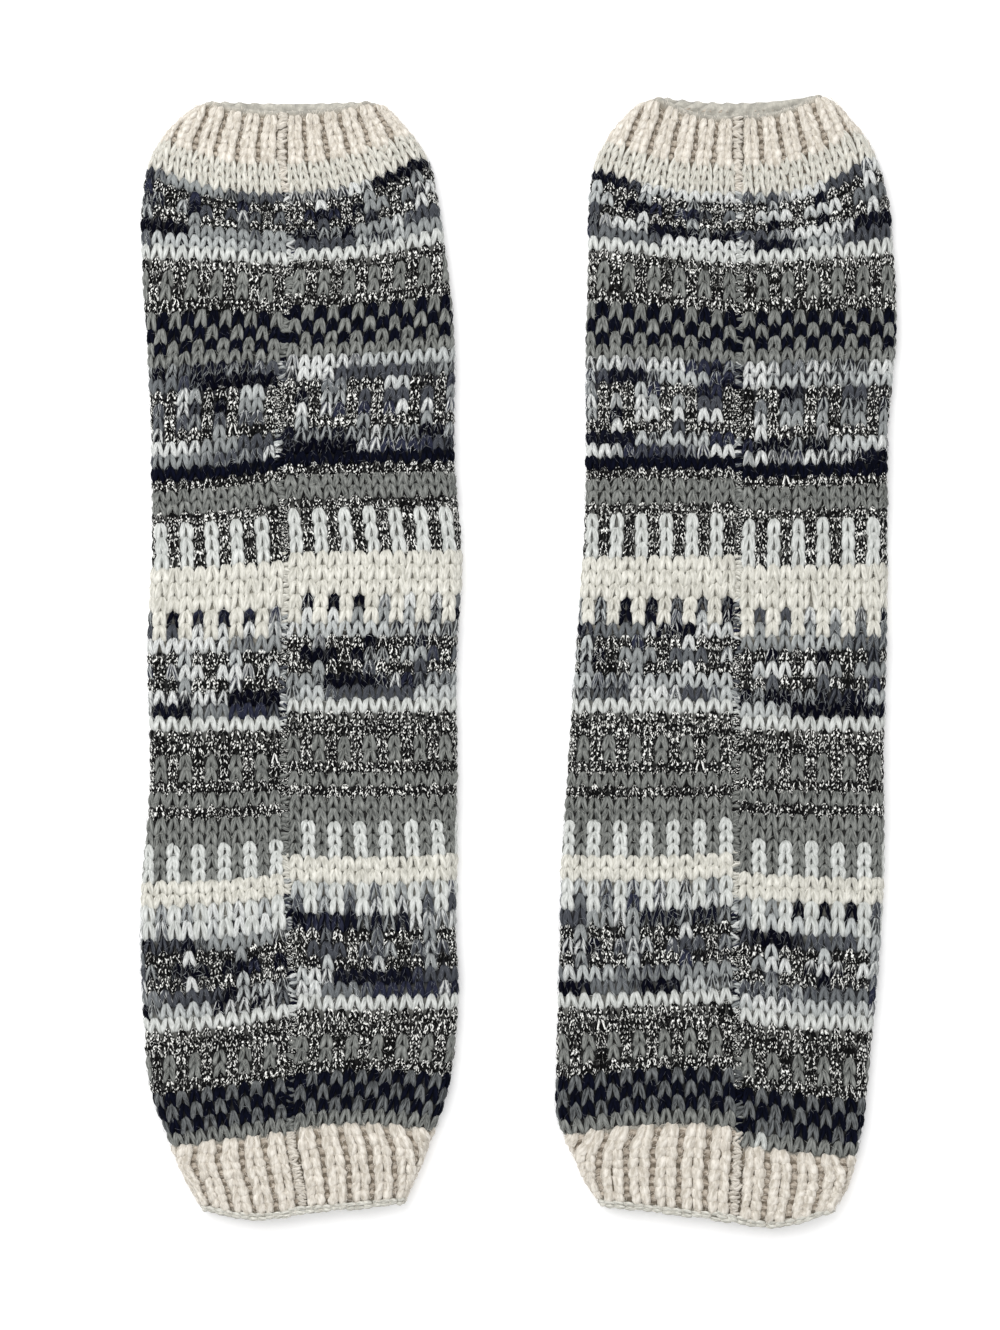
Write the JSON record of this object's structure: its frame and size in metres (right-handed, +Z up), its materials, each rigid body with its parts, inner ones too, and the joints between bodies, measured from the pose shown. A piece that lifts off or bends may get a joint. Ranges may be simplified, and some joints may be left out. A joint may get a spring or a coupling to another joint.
{
  "type": "pair of knitted arm warmers",
  "caption": "Pair of long knitted arm warmers with ribbed cuffs, flattened tubes lying side by side.",
  "frame": {"origin": "middle of the pair's box in X and Y, on the surface that the pair lies on", "axes": "+Y along the warmers from the hand ends to the arm ends, +X from the left warmer to the right one, +Z up out of the surface they lie on"},
  "size_m": [0.2686, 0.4032, 0.0082],
  "materials": {
    "stranded_knit": "soft brushed stranded knit in cream, white, grey, navy, space-dyed and black-and-silver yarns",
    "cream_rib": "soft brushed cream yarn in 1x1 rib",
    "seam": "linked seam in the panel's own yarns"
  },
  "bodies": {
    "root": {"left_body": "stranded_knit", "left_arm_cuff": "cream_rib", "left_hand_cuff": "cream_rib", "left_seam": "seam", "right_body": "stranded_knit", "right_arm_cuff": "cream_rib", "right_hand_cuff": "cream_rib", "right_seam": "seam"}
  },
  "joints": []
}
